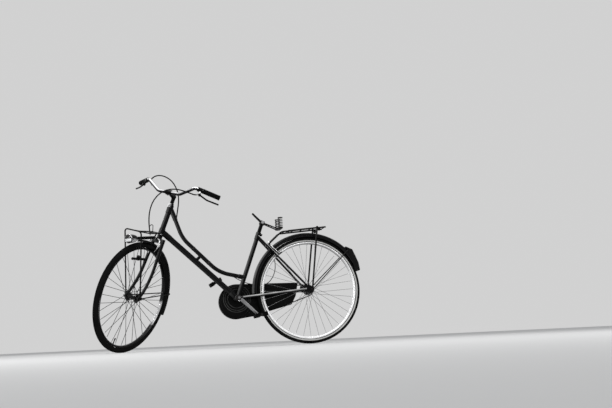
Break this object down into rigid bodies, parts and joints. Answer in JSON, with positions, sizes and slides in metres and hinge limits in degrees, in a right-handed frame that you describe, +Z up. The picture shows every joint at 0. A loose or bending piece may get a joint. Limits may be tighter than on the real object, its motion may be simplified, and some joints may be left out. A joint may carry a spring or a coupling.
{
  "type": "city bicycle",
  "caption": "Black city bicycle with a low swan-shaped top tube, full chain case, mudguards, front and rear carriers, swept-back bar and a bare saddle frame.",
  "frame": {"origin": "the saddle clamp on the seat post, where the rider or a hand holds the machine up", "axes": "+X forward, +Y to the rider's left, +Z up; the steering rests turned 54.4 degrees to the left"},
  "size_m": [1.7296, 0.5901, 1.1345],
  "materials": {
    "frame_paint": "gloss black enamel",
    "fitting_paint": "satin black enamel",
    "chrome": "polished",
    "rim_steel": "polished",
    "spoke_steel": "zinc plated, dull",
    "hub_steel": "satin",
    "crank_steel": "satin",
    "drive_steel": "oiled",
    "tyre_rubber": "matte",
    "black_rubber": "matte",
    "cable_housing": "satin",
    "black_plastic": "satin",
    "red_lens": "gloss",
    "clear_glass": "clear"
  },
  "bodies": {
    "frame": {"head_tube": "frame_paint", "headset_cups": "chrome", "bottom_bracket": "frame_paint", "seat_tube": "frame_paint", "down_tube": "frame_paint", "top_tube": "frame_paint", "frame_bridges": "frame_paint", "rear_dropouts": "frame_paint", "chain_stays": "frame_paint", "seat_stays": "frame_paint", "seat_post": "spoke_steel", "saddle_frame": "spoke_steel", "saddle_springs": "spoke_steel", "rear_axle": "spoke_steel", "chain": "drive_steel", "chain_case": "fitting_paint", "rear_mudguard": "fitting_paint", "rear_guard_stays": "fitting_paint", "rear_carrier": "fitting_paint", "carrier_legs": "fitting_paint", "carrier_clip": "fitting_paint", "rear_lamp": "black_plastic", "rear_lamp_lens": "red_lens", "rear_brake": "chrome", "rear_brake_blocks": "black_rubber", "rear_brake_cable": "cable_housing", "rear_brake_cable_loop": "cable_housing"},
    "steering": {"fork_crown": "frame_paint", "fork_blades": "frame_paint", "front_axle": "spoke_steel", "headset_nuts": "chrome", "stem": "chrome", "handlebar": "chrome", "grips": "black_rubber", "brake_lever_mounts": "fitting_paint", "brake_levers": "fitting_paint", "front_brake": "chrome", "front_brake_blocks": "black_rubber", "front_mudguard": "fitting_paint", "front_guard_stays": "fitting_paint", "front_carrier": "fitting_paint", "headlamp": "chrome", "headlamp_glass": "clear_glass", "blade_clip": "fitting_paint", "front_brake_cable": "cable_housing"},
    "front_wheel": {"front_tyre": "tyre_rubber", "front_rim": "rim_steel", "front_hub": "hub_steel", "front_spokes": "spoke_steel"},
    "rear_wheel": {"rear_tyre": "tyre_rubber", "rear_rim": "rim_steel", "rear_hub": "hub_steel", "rear_spokes": "spoke_steel", "rear_cog": "drive_steel"},
    "crankset": {"crank_axle": "spoke_steel", "chain_ring": "drive_steel", "cranks": "crank_steel", "pedal_pins": "spoke_steel"},
    "pedal_left": {"pedal_left": "black_rubber"},
    "pedal_right": {"pedal_right": "black_rubber"}
  },
  "joints": [
    {"name": "steering_turn", "type": "hinge", "parent": "frame", "child": "steering", "pos_m": [0.66014, 0, -0.06826], "axis": [-0.342, 0, 0.9397], "range_deg": [-129.4, 20.6], "deforming": ["rear_brake_cable_loop"]},
    {"name": "front_wheel_spin", "type": "hinge", "parent": "steering", "child": "front_wheel", "pos_m": [0.83812, 0.04391, -0.46533], "axis": [-0.7641, 0.5821, -0.2781], "continuous": true},
    {"name": "rear_wheel_spin", "type": "hinge", "parent": "frame", "child": "rear_wheel", "pos_m": [-0.29986, 0, -0.45026], "axis": [0, 1, 0], "continuous": true},
    {"name": "crank_spin", "type": "hinge", "parent": "frame", "child": "crankset", "pos_m": [0.17614, 0, -0.48926], "axis": [0, 1, 0], "continuous": true},
    {"name": "pedal_left_spin", "type": "hinge", "parent": "crankset", "child": "pedal_left", "pos_m": [0.05181, 0.084, -0.6052], "axis": [0, 1, 0], "continuous": true},
    {"name": "pedal_right_spin", "type": "hinge", "parent": "crankset", "child": "pedal_right", "pos_m": [0.30047, -0.096, -0.37332], "axis": [0, 1, 0], "continuous": true}
  ]
}
